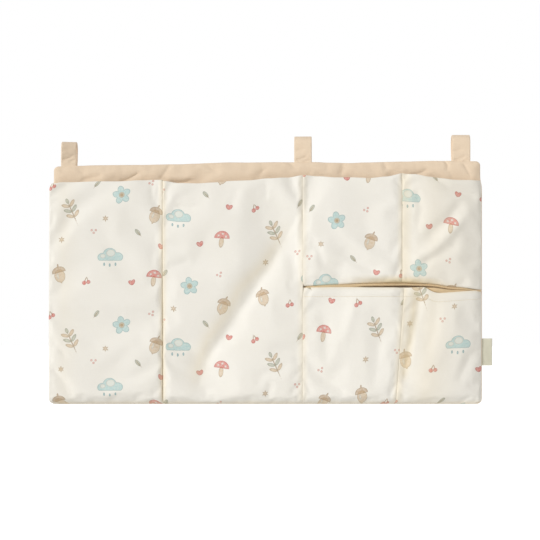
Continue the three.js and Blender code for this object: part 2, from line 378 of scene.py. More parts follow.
def along_line(points, share):
    """Value between evenly spaced points, eased from each one to the next."""
    place = min(max(share, 0.0), LAST_SHARE) * (len(points) - 1)
    index = int(place)
    return points[index] + (points[index + 1] - points[index]) * ease(place - index)


TOP_LINE = (-1.5, -0.5, -0.7, -0.3, 1.3, 0.8, 0.4, -1.2, -0.3, 0.3, -0.8)
TOP_RIPPLE, TOP_RIPPLE_SIZE = 0.35, 16 * MM
PANEL_LUMP, PANEL_LUMP_SIZE = 0.5 * MM, 70 * MM
BAND_FOLDS = [
    (((-262, -44), (-230, -38)), 1.8, 5, 7), (((-209, -49), (-194, -43), (-178, -34)), 4.0, 3, 7),
    (((-135, -24), (-150, -46)), 2.2, 8, 5), (((-138, -49), (-120, -49), (-103, -47)), 5.0, 4, 4),
    (((-84, -26), (-70, -36)), 2.0, 4, 5), (((-140, -43.5), (-120, -43.5), (-100, -41.5)), -2.6, 7, 4),
    (((-9, -41), (-1, -31)), 3.0, 3, 5), (((31, -22), (43, -35)), 3.2, 3.5, 4),
    (((70, -38), (88, -46)), 2.2, 5, 6), (((109, -22), (103, -42)), 2.6, 9, 4),
    (((167, -22), (168, -36)), 3.0, 3, 4.5), (((196, -46), (226, -36)), 2.6, 5, 7),
    (((253, -21), (255, -36)), 3.0, 3, 4.5), (((276, -26), (286, -44)), 2.0, 4, 5),
]


def corner_inset(radius, distance):
    """How far a rounded corner draws the sides in, at this distance from the end."""
    short = min(max(radius - distance, 0), radius)
    return radius - (radius ** 2 - short ** 2) ** 0.5


def band_inset(x, z):
    """How far the bare band above the mouths is drawn in at its sides."""
    return (LEFT_BAND_INSET if x < 0 else RIGHT_BAND_INSET) * ease((z - MOUTH) / BAND_INSET_REACH + 1)


def panel_flat(across, along):
    """Place on the flat panel at these shares of its width and height, as (x, z)."""
    return (2 * across - 1) * PANEL_HALF, PANEL_FOOT + along * PANEL_HEIGHT


def panel_place(across, along):
    """Point of the panel's middle layer, with rounded corners and a bare band drawn in a little."""
    x, z = panel_flat(across, along)
    inset = corner_inset(CORNER_RADIUS, z - PANEL_FOOT) + corner_inset(TOP_CORNER_RADIUS, PANEL_TOP - z)
    inset += band_inset(x, z)
    top_line = (along_line(TOP_LINE, across) + TOP_RIPPLE * ripple(x, 0, TOP_RIPPLE_SIZE, 1)) * MM
    wave = top_line * ease((z - MOUTH) / EDGE_WAVE_REACH)
    wave -= FOOT_DROP * ease((PANEL_FOOT - z) / EDGE_WAVE_REACH + 1)
    y = (panel_front(x, z) + panel_rear(x, z)) / 2
    y += PANEL_LUMP * ripple(x, z, PANEL_LUMP_SIZE, 2) + fold_depth(BAND_FOLDS, x / MM, z / MM) * MM
    return Vector((x * (PANEL_HALF - inset) / PANEL_HALF, y, lifted(x, z) + wave))


panel = add_cloth("back_panel", columns=184, rows=60)
shares = shape_cloth(
    panel, panel_place, lambda s, t: (s * 2 * PANEL_HALF, t * PANEL_HEIGHT), crowding=(0.3, 0.45))
filled = panel.vertex_groups.new(name="filled")
for index, share in enumerate(shares):
    x, z = panel_flat(*share)
    filled.add([index], (panel_rear(x, z) - panel_front(x, z)) / PANEL_FULL, "REPLACE")
use_modifier(panel, "SOLIDIFY", thickness=PANEL_FULL, offset=0, vertex_group="filled")

EDGE_SEWN, SEAM_SEWN = 2.2 * MM, 3 * MM
TAPE_HALF, TAPE_LOW, TAPE_HIGH = 14 * MM, -75 * MM, -35 * MM
panel_sewn = []
for vertex in panel.data.vertices:
    x, y, z = vertex.co
    at_tape = TAPE_LOW < z < TAPE_HIGH and any(abs(x - place) < TAPE_HALF for place in strap_places)
    panel_sewn.append(at_tape or abs(y - PANEL_MIDDLE) < EDGE_SEWN or seam_distance(x, z) < SEAM_SEWN)
settle(panel, panel_sewn, pressure=1.5, slack=0.006, reach=2 * MM, frames=10)
round_off(panel)
panel.data.materials.append(beige_cotton)
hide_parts("rear_cover", "panel_filling", "front_lining")
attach(panel, "panel")


# Six pocket fronts. Each is a printed cotton face and a beige lining with a thin filling between them, sewn
# down at its sides and foot and hemmed at its mouth. The spare width bows out and falls into shallow folds.
# A warm tint in the print's colour is partly the lining showing through where a seam presses the layers
# together, and partly painted shade: in the folds, at the foot of the upper pockets and on darker patches.

POCKET_FILL = 4.2 * MM
POCKET_FACE = 13.6 * MM
SEAM_MEET = 1.8 * MM
WALL = 2.4 * MM
TUCK = 0.6 * MM
MOUTH_CORNER = 10 * MM
HEM, HEM_DIP, HEM_DIP_REACH, HEM_LEAN = 12 * MM, 0.7 * MM, 1.4 * MM, 1.6 * MM
FLANGE, FLANGE_DIP, FLANGE_DIP_REACH = 3 * MM, 0.9 * MM, 1.1 * MM
PUCKER, PUCKER_SIZE, PUCKER_REACH = 0.7 * MM, 9 * MM, 5 * MM
POCKET_LUMPS = ((0.5 * MM, 55 * MM, 4), (0.3 * MM, 21 * MM, 5))
FREE_REACH = 12 * MM
SEAT_TURN = 1.6
HEM_SHOW, NO_SHOW = (0.25, 5), (0, 1)


@dataclass
class PocketCut:
    """One pocket front: its CAD node, and how the photograph shows it hanging, in millimetres. Its sides are
    left, right and foot: how far out each is sewn at its foot or left end and at its other end, how much of
    the rise from there is a soft slope, how far in that slope reaches, and how strongly and how far in the
    warm tint is painted near that seam, partly lining show-through and partly painted shade. Its painted
    shades are lines of painted shade in the same tint."""

    name: str
    mouth_line: tuple
    sides: tuple
    folds: list
    print_start: tuple
    foot_line: tuple = (0, 0, 0)
    lean: tuple = ((0, 0), (0, 0))
    outline: tuple = ()
    corners: tuple = (0, 0)
    painted_shades: tuple = ()
    hem_line: bool = False
    paints_row_foot_shade: bool = False

    def __post_init__(self):
        low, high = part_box(self.name + "_print")
        self.left = low.x if "left" in self.outline else low.x - SEAM_MEET
        self.right = high.x if "right" in self.outline else high.x + SEAM_MEET
        self.foot, self.mouth = low.z, high.z
        self.wide, self.high = self.right - self.left, self.mouth - self.foot
        self.shade_and_show = [side[4:] for side in self.sides] + [HEM_SHOW if self.hem_line else NO_SHOW]


def dip(distance, reach):
    """A mark along a line: 1 on the line, fading out on both sides of it."""
    return exp(-(distance / reach) ** 2)


def pocket_place(cut, across, along):
    """Point of the pocket's printed face at these shares of its width and height."""
    left_lean, right_lean = ((low * (1 - along) + high * along) * MM for low, high in cut.lean)
    left, right = cut.left + left_lean, cut.right + right_lean
    foot = cut.foot + along_line(cut.foot_line, across) * MM
    foot -= FOOT_DROP if "foot" in cut.outline else 0
    mouth = cut.mouth + along_line(cut.mouth_line, across) * MM
    x = left + across * (right - left)
    z = foot + along * (mouth - foot)
    to_left, to_right, to_foot = x - left, right - x, z - foot
    nearest = min(to_left, to_right, to_foot)

    stand = 1.0
    sewn = zip((to_left, to_right, to_foot), (along, along, across), cut.sides)
    for distance, seat_share, (first_seat, last_seat, soft_share, reach, *_) in sewn:
        risen = (1 - soft_share) * bulge(distance, WALL) + soft_share * bulge(distance, reach * MM)
        seat = (first_seat + (last_seat - first_seat) * ease((seat_share - 0.5) * SEAT_TURN + 0.5)) * MM
        stand *= 1 - (1 - seat / POCKET_FACE) * (1 - risen)
    pucker = PUCKER * ripple(x, z, PUCKER_SIZE, 3) * dip(nearest - PUCKER_REACH, PUCKER_REACH)
    soft = sum(height * ripple(x, z, size, seed) for height, size, seed in POCKET_LUMPS)
    folds = fold_depth(cut.folds, (x - left) / MM, (z - foot) / MM) * MM
    out = POCKET_FACE * stand + (soft + pucker - folds) * min(nearest / FREE_REACH, 1)
    for side, distance in (("right", to_right), ("foot", to_foot)):
        if side in cut.outline:
            out -= FLANGE_DIP * dip(distance - FLANGE, FLANGE_DIP_REACH)
    if cut.hem_line:
        out -= HEM_DIP * dip(mouth - z - HEM, HEM_DIP_REACH) + HEM_LEAN * ease(1 - (mouth - z) / HEM)

    inset = corner_inset(CORNER_RADIUS, z - PANEL_FOOT) if "foot" in cut.outline else 0
    drawn_in = corner_inset(MOUTH_CORNER, mouth - z)
    aside = cut.corners[0] * drawn_in * (1 - across) - cut.corners[1] * drawn_in * across
    tucked = PANEL_HALF - band_inset(x, z) - TUCK
    base = panel_front(x, z)
    if "left" in cut.outline:
        risen = bulge(to_left, WALL)
        base += (PANEL_FRONT - base) * risen * ease((to_foot - to_left) / EDGE_REACH)
        aside = aside * risen + (-tucked - left) * (1 - risen)
    if "right" in cut.outline:
        aside += (tucked - right) * (1 - bulge(to_right, WALL))
    return Vector((x * (PANEL_HALF - inset) / PANEL_HALF + aside, base - out, lifted(x, z)))


CREAM = dye(251, 248, 241)
CREAM_SHADE = dye(246, 242, 231)
TAN = dye(221, 195, 160)
BROWN = dye(196, 165, 128)
AQUA = dye(176, 214, 214)
DEEP_AQUA = dye(142, 191, 196)
CORAL = dye(220, 98, 86)
ROSE = dye(238, 184, 172)
SAGE = dye(186, 190, 170)
# Warm tint mixed into the print: partly the lining showing through, partly painted warm shade.
WARM_SHADE_AND_SHOW_THROUGH = dye(238, 218, 172)
PRINT_REPEAT = (186.0, 178.0)
PRINT_BLEED, BLEED_SIZE = 0.7, 2.4 * MM
PRINT_PATCH_SIZE = 45 * MM
PRINT_SLUB_TONE, PRINT_PATCH_TONE, PRINT_TONE_LEVEL = 0.35, 0.5, 0.35
PRINT_EDGE = 0.4
PRINT_RIM, RIM_INSET = 0.7, 0.3
RIM_SHADE, RIM_STRENGTH = 0.7, 0.85
FILL_STRENGTH, FILL_UNEVEN = 0.66, 0.9
MOTIF_SCALE = 1.1

printed_cotton, print_shader, print_place = start_finish("printed cotton", roughness=0.82, sheen=0.12)
print_slubs = add_weave(print_place, print_shader, depth=0.3 * MM, slub=0.4)
print_bleed = speckle(print_place, BLEED_SIZE, FINE_DETAIL) - 0.5
cloth_x, cloth_y = parts(print_place.vector("MULTIPLY", (1 / MM, 1 / MM, 0)))
column = (cloth_x * (1 / PRINT_REPEAT[0])).maths("FLOOR")
dropped = column.maths("MULTIPLY_ADD", PRINT_REPEAT[1] / 2, cloth_y)
half_drop = column.node("ShaderNodeCombineXYZ", {}, {0: cloth_x, 1: dropped})
print_point = half_drop.vector("WRAP", (*PRINT_REPEAT, 1.0), (0.0, 0.0, 0.0))


def turned(point, turn, centre=(0, 0)):
    """The point as seen by a motif that is turned about its centre."""
    spin = {"Vector": point, "Center": (*centre, 0), "Angle": -radians(turn)}
    return point.node("ShaderNodeVectorRotate", {"rotation_type": "Z_AXIS"}, spin)


def oval(point, centre, size, turn=0):
    """Distance outside an oval of a printed motif, below 0 inside it, in millimetres."""
    if turn:
        point = turned(point, turn, centre)
    scale = (1 / size[0], 1 / size[1], 0)
    shift = (-centre[0] / size[0], -centre[1] / size[1], 0)
    reach = point.vector("MULTIPLY_ADD", scale, shift).vector("LENGTH", output=1)
    return reach.maths("MULTIPLY_ADD", min(size), -min(size))


def ovals(point, shapes):
    """Distance outside several ovals taken together."""
    whole = oval(point, *shapes[0])
    for shape in shapes[1:]:
        whole = whole.maths("MINIMUM", oval(point, *shape))
    return whole


def leaf_pair(height):
    """The ovals of two leaves that stand out from a stem."""
    return [((side * 4.4, height), (2.1, 5.0), -side * 52) for side in (-1, 1)]


# A motif is a list of layers: a colour, a level above which the layer shows, or None, and its ovals.
ACORN = [
    (TAN, None, ((0, -2.5), (6.6, 8.2)), ((0, -9.5), (1.4, 2.6))),
    (CREAM_SHADE, None, ((-2.4, -2.2), (1.3, 3.6))),
    (BROWN, 1.8, ((0, 2.8), (8.4, 6.4)), ((0.6, 10), (1, 2.6), -12)),
]
CLOUD = [
    (AQUA, -5.0, ((-9, -1), (6.2, 5.4)), ((0, 2.4), (8.6, 8.2)), ((9.5, -0.6), (6.8, 5.8))),
    (CREAM_SHADE, None, ((1, 4.4), (5.4, 4.4)), ((-8.6, 0.6), (3.4, 2.6))),
    (DEEP_AQUA, None, *((place, (1.1, 2.0)) for place in ((-7, -9.5), (0, -10.6), (7, -9.5)))),
]
TOADSTOOL = [
    (TAN, None, ((0, -5.4), (3.0, 6.6))), (CORAL, -0.6, ((0, -0.6), (9.6, 9.2))),
    (CREAM, None, *((place, (1.6, 1.4)) for place in ((-4.4, 2.8), (0.4, 5.2), (5, 2)))),
]
SPRIG = [
    (BROWN, None, ((0, 0), (0.6, 14.0))), (SAGE, None, *leaf_pair(2.9), ((0, 14.5), (2.0, 3.4))),
    (TAN, None, *leaf_pair(-4.1), *leaf_pair(9.9)),
]
FLOWER = [
    (AQUA, None, *(((6.2 * sin(radians(turn)), 6.2 * cos(radians(turn))), (4.0, 5.2), -turn)
                   for turn in range(0, 360, 72))),
    (TAN, None, ((0, 0), (3.4, 3.4))), (BROWN, None, ((0, 0), (1.6, 1.6))),
]
BERRIES = [
    (BROWN, None, ((-1.2, 2.4), (0.5, 3.4), -20), ((1.4, 2.6), (0.5, 3.2), 20)),
    (CORAL, None, ((-2.6, -1.6), (2.6, 2.6)), ((2.6, -0.6), (2.4, 2.4))),
]
HEART = [(CORAL, None, ((-1.3, 0), (2.3, 3.7), 38), ((1.3, 0), (2.3, 3.7), -38))]
LEAF = [(SAGE, None, ((0, 0), (2.3, 4.8))), (BROWN, None, ((0, -2.0), (0.4, 4.4)))]
DOTS = [(ROSE, None, *((place, (1.4, 1.4)) for place in ((-2.6, 0), (2.6, 0), (0, -3.2))))]
BLOSSOM = [(TAN, None, *(((0, 0), (1.0, 3.8), turn) for turn in (0, 60, 120)))]
PRINT_MOTIFS = [
    (ACORN, 29, 33, 14), (CLOUD, 98, 56, 0), (TOADSTOOL, 158, 27, -8), (SPRIG, 46, 118, 24),
    (FLOWER, 114, 140, 10), (ACORN, 160, 112, -20), (BERRIES, 66, 22, 0), (HEART, 128, 20, 12),
    (BLOSSOM, 32, 80, 0), (LEAF, 136, 88, 40), (DOTS, 76, 92, 0), (BERRIES, 18, 154, 20),
    (HEART, 168, 68, -14), (LEAF, 80, 156, -35), (DOTS, 154, 156, 30), (BLOSSOM, 92, 108, 0),
]
print_patches = print_slubs * PRINT_SLUB_TONE + speckle(print_place, PRINT_PATCH_SIZE) * PRINT_PATCH_TONE
print_tone = mixed(CREAM, CREAM_SHADE, print_patches - PRINT_TONE_LEVEL)
fill_change = print_bleed * FILL_UNEVEN + (FILL_STRENGTH - RIM_STRENGTH)
for motif, centre_x, centre_y, turn in PRINT_MOTIFS:
    shift = (-centre_x / MOTIF_SCALE, -centre_y / MOTIF_SCALE, 0)
    motif_point = print_point.vector("MULTIPLY_ADD", (1 / MOTIF_SCALE, 1 / MOTIF_SCALE, 0), shift)
    motif_point = turned(motif_point, turn)
    for colour, level, *shapes in motif:
        distance = ovals(motif_point, shapes)
        if level is not None:
            distance = distance.maths("MAXIMUM", level - parts(motif_point)[1])
        rough = print_bleed.maths("MULTIPLY_ADD", PRINT_BLEED, distance)
        ink = rough.maths("MULTIPLY_ADD", -1 / PRINT_EDGE, 0.5, clamp=True)
        inner = rough.maths("MULTIPLY_ADD", -1 / PRINT_RIM, -RIM_INSET, clamp=True)
        rim = (*(channel * RIM_SHADE for channel in colour[:3]), 1.0)
        strength = inner.maths("MULTIPLY_ADD", fill_change, RIM_STRENGTH)
        print_tone = mixed(print_tone, mixed(rim, colour, inner), ink * strength)
# Each point's share of the warm tint: painted shade in folds and near seams, with some lining show-through.
shade_and_show_share = print_place.node("ShaderNodeAttribute", {"attribute_name": "pressed"}, {}, output=2)
mixed(print_tone, WARM_SHADE_AND_SHOW_THROUGH, shade_and_show_share).feed(print_shader, "Base Color")

MAIN_FOLD = ((182, 250), (152, 196), (116, 142), (80, 90), (62, 62), (43, 6))
# Painted shade: a warm tint drawn along the dark side of the centre pocket's main fold.
MAIN_FOLD_PAINTED_SHADE = ((172, 241), (139, 191), (105, 158), (89, 125), (63, 92), (51, 59), (42, 26))
# The last two numbers of each side are the strength and reach of the warm tint painted near that seam: partly
# lining show-through, partly painted shade.
EDGE_FOOT = (-0.4, -0.4, 0.5, 13, 0.4, 7)
MIDDLE_SIDE = (12.7, 12.7, 0.4, 24, 0.24, 11)
CUTS = [
    PocketCut(
        "left_pocket", mouth_line=(-2.9, -1.8, -1.5, -1.8, -0.3, 0.3),
        sides=((-0.8, -0.8, 0.0, 30, 0, 1), (5.6, 12.0, 0.26, 10, 0.36, 9), EDGE_FOOT),
        folds=[(((8, 88), (17, 79), (27, 66)), 1.8, 7, 5), (((7, 50), (27, 30)), 1.5, 8, 6),
               (((143, 306), (144, 280)), 1.1, 6, 6), (((153, 304), (152, 284)), 1.0, 4, 5),
               (((150, 250), (144, 180), (150, 110)), 0.6, 10, 14),
               (((20, 200), (60, 120), (110, 90)), 0.5, 30, 30)],
        painted_shades=[(((22, 380), (24, -60)), 0.1, 30, 26)],
        lean=((-1.6, -0.4), (0, 0)), print_start=(12, 30), outline=("left", "foot"), corners=(0.36, 0)),
    PocketCut(
        "centre_pocket", mouth_line=(-1, -4.7, -5.7, -4.5, -2.7, -2.3, -0.1, 1.7, 4.7),
        sides=((5.6, 12.0, 0.24, 12, 0.36, 9), (12.7, 12.7, 0.4, 20, 0.24, 11), EDGE_FOOT),
        folds=[(MAIN_FOLD, 6.9, 54, 40), (MAIN_FOLD, 0.6, 16, 12),
               (((20, 274), (34, 271), (48, 270)), 1.8, 5, 7), (((6, 190), (22, 192), (38, 198)), 1.6, 8, 12),
               (((141, 308), (143, 280)), 1.6, 4, 5), (((150, 34), (146, 8)), 1.4, 8, 8),
               (((66, 240), (40, 180)), 1.0, 18, 18), (((104, 296), (92, 262)), 1.2, 9, 9)],
        painted_shades=[(MAIN_FOLD_PAINTED_SHADE, 0.26, 18, 20)], print_start=(262, 64), outline=("foot",)),
    PocketCut(
        "upper_wide_pocket", mouth_line=(4.7, 3.0, 0.7, 0.5, -0.5, 1.7, 6.0), foot_line=(0, 1.7, 2.9, 3.2),
        sides=(MIDDLE_SIDE, (12.2, 12.4, 0.3, 9, 0.32, 10), (9.6, 3.2, 0.45, 13, 0.95, 15)),
        folds=[(((126, -20), (126, 170)), -1.2, 120, 60), (((50, 46), (74, 31), (104, 14)), 3.0, 16, 9),
               (((38, 104), (56, 72), (92, 42), (128, 25)), -1.6, 14, 12),
               (((20, 60), (30, 30), (60, 10)), 1.2, 10, 12)],
        print_start=(66, 52), paints_row_foot_shade=True),
    PocketCut(
        "upper_narrow_pocket",
        mouth_line=(6, 4.4, 0.8, -2.2, -3.8, -3.9, -4.1), foot_line=(3.2, 1.9, -2.5, -6.0),
        sides=((11.6, 12.0, 0.4, 16, 0.34, 24), (-0.4, -0.4, 0.82, 94, 0, 1), (3.2, 6.4, 0.45, 13, 0.95, 15)),
        folds=[(((92, 100), (45, 47), (15, 30)), -3.6, 10, 15),
               (((84, 118), (64, 92), (34, 62)), 3.2, 16, 12), (((80, 60), (52, 42), (28, 26)), 2.4, 8, 14),
               (((20, 132), (26, 100), (20, 70)), 1.6, 8, 7),
               (((40, 150), (66, 134), (108, 124)), 3.2, 10, 18)],
        painted_shades=[(((46, 200), (42, -60)), 0.16, 110, 90)],
        print_start=(276, 30), outline=("right",), corners=(0, 0.1), paints_row_foot_shade=True),
    PocketCut(
        "lower_wide_pocket", mouth_line=(2.6, 2.4, 2.2, 2.0),
        sides=(MIDDLE_SIDE, (12.8, 12.9, 0.2, 8, 0.3, 10), EDGE_FOOT),
        folds=[(((120, -20), (126, 180)), -1.0, 116, 60), (((72, 138), (66, 112), (56, 84)), -1.6, 12, 12),
               (((112, 120), (104, 60), (98, 20)), 1.2, 16, 20), (((24, 36), (60, 16)), 1.6, 12, 10),
               (((30, 120), (36, 60)), 1.0, 14, 14)],
        lean=((0, 0), (-9, 3)), print_start=(128, 108), outline=("foot",), hem_line=True),
    PocketCut(
        "lower_narrow_pocket",
        mouth_line=(1.9, 1.9, 1.9, 1.9, 1.9, 1.6, -2.4, -5.6, -5.9, -5.7, -5.2, -4.8, -4.4, -4.0, -3.6, -3.2,
                    -2.8, -2.4, -2.2),
        sides=((12.4, 12.6, 0.2, 12, 0.34, 16), (-0.4, -0.4, 0.82, 112, 0, 1), EDGE_FOOT),
        folds=[(((24, 160), (19, 110), (12, 60), (7, 20)), 3.6, 34, 19),
               (((34, 156), (25, 104), (17, 50)), -0.8, 8, 8),
               (((74, 150), (73, 102), (56, 64), (16, 20)), -1.3, 16, 34),
               (((100, 70), (84, 30)), 1.8, 12, 12), (((48, 146), (46, 100), (36, 70)), 1.4, 12, 12)],
        painted_shades=[(((20, 176), (16, 110), (10, 60), (7, 30)), 0.42, 10, 22),
                (((44, 210), (40, 90), (34, -50)), 0.22, 60, 45)],
        lean=((-9, 3), (0, 0)), print_start=(20, 150), outline=("right", "foot"), hem_line=True),
]


def cloth_middle(piece, face):
    """Middle of a face in the piece's cloth coordinates."""
    coordinates = piece.data.uv_layers.active.data
    return sum((coordinates[loop].uv for loop in face.loop_indices), Vector((0, 0))) / face.loop_total


def part_halves(piece, across_middle):
    """Parts a piece down its middle by its cloth coordinates. Both halves keep the whole's smooth shading."""
    shading = {tuple(vertex.co): vertex.normal.copy() for vertex in piece.data.vertices}
    pick(piece)
    bpy.context.tool_settings.mesh_select_mode = (False, False, True)
    bpy.ops.object.mode_set(mode="EDIT")
    bpy.ops.mesh.select_all(action="DESELECT")
    bpy.ops.object.mode_set(mode="OBJECT")
    for face in piece.data.polygons:
        face.select = cloth_middle(piece, face).x > across_middle
    bpy.ops.object.mode_set(mode="EDIT")
    bpy.ops.mesh.separate(type="SELECTED")
    bpy.ops.object.mode_set(mode="OBJECT")
    other = next(found for found in bpy.context.selected_objects if found is not piece)
    for half in (piece, other):
        half.data.normals_split_custom_set_from_vertices([shading[tuple(v.co)] for v in half.data.vertices])
    return piece, other


def gape(half, cut, side):
    """Bakes a half pocket's place into its mesh. Its sewn side is worked out, but the half is not bowed out
    here.
    """
    seam_x = cut.left + max(cut.lean[0]) * MM if side == "left" else cut.right + min(cut.lean[1]) * MM
    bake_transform(half)


NET_ACROSS, NET_ALONG = 6.8 * MM, 3.4 * MM
POCKET_SEWN = 2 * MM
SEAM_FILL, SEAM_FILL_REACH = 0.25, 14 * MM
LIP_FILL, LIP_FILL_REACH = 0.75, 10 * MM
# How far the painted shade at the upper pockets' foot reaches on each side of the right divider.
ROW_FOOT_SHADE_REACH = 56 * MM
pockets = {}
for cut in CUTS:
    pocket = add_cloth(cut.name, 2 * round(cut.wide / NET_ACROSS), round(cut.high / NET_ALONG))
    start = Vector(cut.print_start) * MM
    wall = POCKET_FACE if "left" in cut.outline else 0
    wide, high = cut.wide, cut.high
    shares = shape_cloth(
        pocket, lambda s, t: pocket_place(cut, s, t),
        lambda s, t: (start.x + s * wide - wall * (1 - bulge(s * wide, WALL)), start.y + t * high),
        crowding=(0.6, 0.6))
    seams = [(s * wide, (1 - s) * wide, t * high, (1 - t) * high) for s, t in shares]
    pocket_sewn = [min(away[:3]) < POCKET_SEWN for away in seams]
    settle(pocket, pocket_sewn, pressure=0.6, slack=0.008, reach=3 * MM, frames=14)
    filled = pocket.vertex_groups.new(name="filled")
    pressed = []
    for index, away in enumerate(seams):
        lip = LIP_FILL + (1 - LIP_FILL) * bulge(away[3], LIP_FILL_REACH)
        full = SEAM_FILL + (1 - SEAM_FILL) * bulge(min(away[:3]), SEAM_FILL_REACH)
        filled.add([index], full * lip, "REPLACE")
        marks = [shade_and_show * (1 - ease(near / (reach * MM))) for near, (shade_and_show, reach) in zip(away, cut.shade_and_show)]
        # Painted shade: the tint at the upper pockets' foot is strongest near the right divider and fades
        # away from it.
        if cut.paints_row_foot_shade:
            marks[2] *= dip(cut.left + away[0] - right_divider, ROW_FOOT_SHADE_REACH)
        # Painted shade from the cut's shade lines: fold valleys, the pleat triangle and darker patches.
        marks.append(fold_depth(cut.painted_shades, away[0] / MM, away[2] / MM))
        pressed.append(max(marks))
    pocket.data.attributes.new("pressed", "FLOAT", "POINT").data.foreach_set("value", pressed)
    pocket.data.materials.append(printed_cotton)
    pocket.data.materials.append(beige_cotton)
    use_modifier(pocket, "SOLIDIFY", thickness=POCKET_FILL, offset=-1, vertex_group="filled",
                 material_offset=1)
    for face in pocket.data.polygons:
        if cloth_middle(pocket, face).y - start.y > high - HEM:
            face.material_index = 0
    round_off(pocket)
    for half, side in zip(part_halves(pocket, start.x + wide / 2), ("left", "right")):
        half.name = cut.name + "_" + side + "_half"
        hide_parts(cut.name + "_lining", cut.name + "_filling", cut.name + "_print")
        gape(half, cut, side)
        pockets[cut.name, side] = half


# Lining rolls. Under the two upper pockets the beige lining turns out below the foot seam and shows as a thin
# soft roll, sewn flat to the panel with the pocket's foot. A loose fold of it lies in the mouth of the lower
# narrow pocket.

ROLL_RIPPLE = 0.4
DROP_RIPPLE_SIZE, RADIUS_RIPPLE_SIZE = 22 * MM, 30 * MM
LEAST_RADIUS = 0.4 * MM
ROLL_POINTS = 24
CLOTH_PER_DEPTH = 1.6
# The rolls' cotton is a darker, more golden copy of the beige cotton: painted shade and warm bounce of the
# gap under the upper pockets.
shaded_lining_edge = add_cotton("shaded lining edge", dye(228, 202, 162), dye(208, 180, 140))


@dataclass
class Roll:
    """One roll of lining under a pocket: its two ends, and its drop below the foot seam, its radius and its
    stand from the panel along its length, in millimetres."""

    name: str
    cut: PocketCut
    start: float
    end: float
    drops: tuple
    radii: tuple
    stands: tuple

    def point(self, share):
        """Middle of the roll at this share of its length, and its radius there."""
        x = self.start + (self.end - self.start) * share
        foot = self.cut.foot + along_line(self.cut.foot_line, (x - self.cut.left) / self.cut.wide) * MM
        z = foot - (along_line(self.drops, share) + ROLL_RIPPLE * ripple(x, 0, DROP_RIPPLE_SIZE, 6)) * MM
        y = panel_front(x, z) - along_line(self.stands, share) * MM
        radius = (along_line(self.radii, share) + ROLL_RIPPLE * ripple(x, 0, RADIUS_RIPPLE_SIZE, 7)) * MM
        return Vector((x, y, lifted(x, z))), max(radius, LEAST_RADIUS)


upper_wide, upper_narrow, *lower_cuts = CUTS[2:]
SEWN_ROLLS = [
    Roll("upper_wide_roll", upper_wide, middle_divider - 1 * MM, right_divider + 3 * MM,
         (1.9, 1.8, 1.8, 1.7, 1.6, 1.5, 1.4), (1.7, 2.6, 2.8, 2.7, 2.5, 2.2, 1.9),
         (8.0, 10.6, 10.4, 9.4, 8.2, 7.0, 6.4)),
    Roll("upper_narrow_roll", upper_narrow, right_divider - 3 * MM, PANEL_HALF - 2 * MM,
         (1.4, 1.2, 1.1, 1.2, 1.4), (1.9, 1.8, 1.7, 1.6, 0.8), (6.4, 6.2, 6.0, 4.6, 1.6)),
]
LOOSE_FOLD = Roll("loose_lining_fold", upper_narrow, right_divider + 34 * MM, right_divider + 102 * MM,
                  (5.6, 6.8, 6.8, 6.2, 5.2, 4.2, 3.2), (1.6, 3.5, 3.5, 3.1, 2.5, 1.8, 0.7),
                  (4.4, 7.4, 7.4, 6.4, 5.2, 3.8, 2.2))
for roll in (*SEWN_ROLLS, LOOSE_FOLD):
    pick()
    bpy.ops.curve.primitive_nurbs_path_add()
    tube = bpy.context.object
    tube.name = roll.name
    spline = tube.data.splines[0]
    spline.points.add(ROLL_POINTS - len(spline.points))
    for index, point in enumerate(spline.points):
        place, point.radius = roll.point(index / (len(spline.points) - 1))
        point.co = (*place, 1)
    spline.use_endpoint_u = True
    spline.resolution_u = 4
    tube.data.bevel_depth = 1
    tube.data.bevel_resolution = 3
    tube.data.use_fill_caps = True
    bpy.ops.object.convert(target="MESH")
    for loop in tube.data.loops:
        place = tube.data.vertices[loop.vertex_index].co
        tube.data.uv_layers.active.data[loop.index].uv = (place.x, place.z - CLOTH_PER_DEPTH * place.y)
    tube.data.materials.clear()
    tube.data.materials.append(shaded_lining_edge)
    tube.data.shade_smooth()
    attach(tube, "panel")


# Stitches. Cream cotton thread in lockstitch: four rows hold the pockets to the panel and show on both sides,
# two rows on its rear close the edge and hold the upper pockets' feet, and two rows hold the hems of the
# lower pockets. Straw thread winds over the two sewn rolls.

STITCH_PITCH = 3.4 * MM
STITCH_SHARE = 0.8
THREAD_RADIUS = 0.38 * MM


def add_thread(name, dark, light):
    """Twisted cotton thread: two tones and a ridge that wind along each stitch."""
    thread, shader, place = start_finish(name, roughness=0.7, sheen=0.1)
    ply = place.node("ShaderNodeTexWave", {"bands_direction": "DIAGONAL"}, {"Vector": place, "Scale": 6.0})
    mixed(dark, light, ply).feed(shader, "Base Color")
    emboss(shader, ply, depth=0.1 * MM)
    return thread


cream_thread = add_thread("cream thread", dye(240, 228, 202), dye(250, 243, 226))
straw_thread = add_thread("straw thread", dye(222, 198, 156), dye(242, 224, 190))

pick()
bpy.ops.mesh.primitive_uv_sphere_add(segments=6, ring_count=4, radius=1)
spindle = bpy.context.object
spindle.data.shade_smooth()


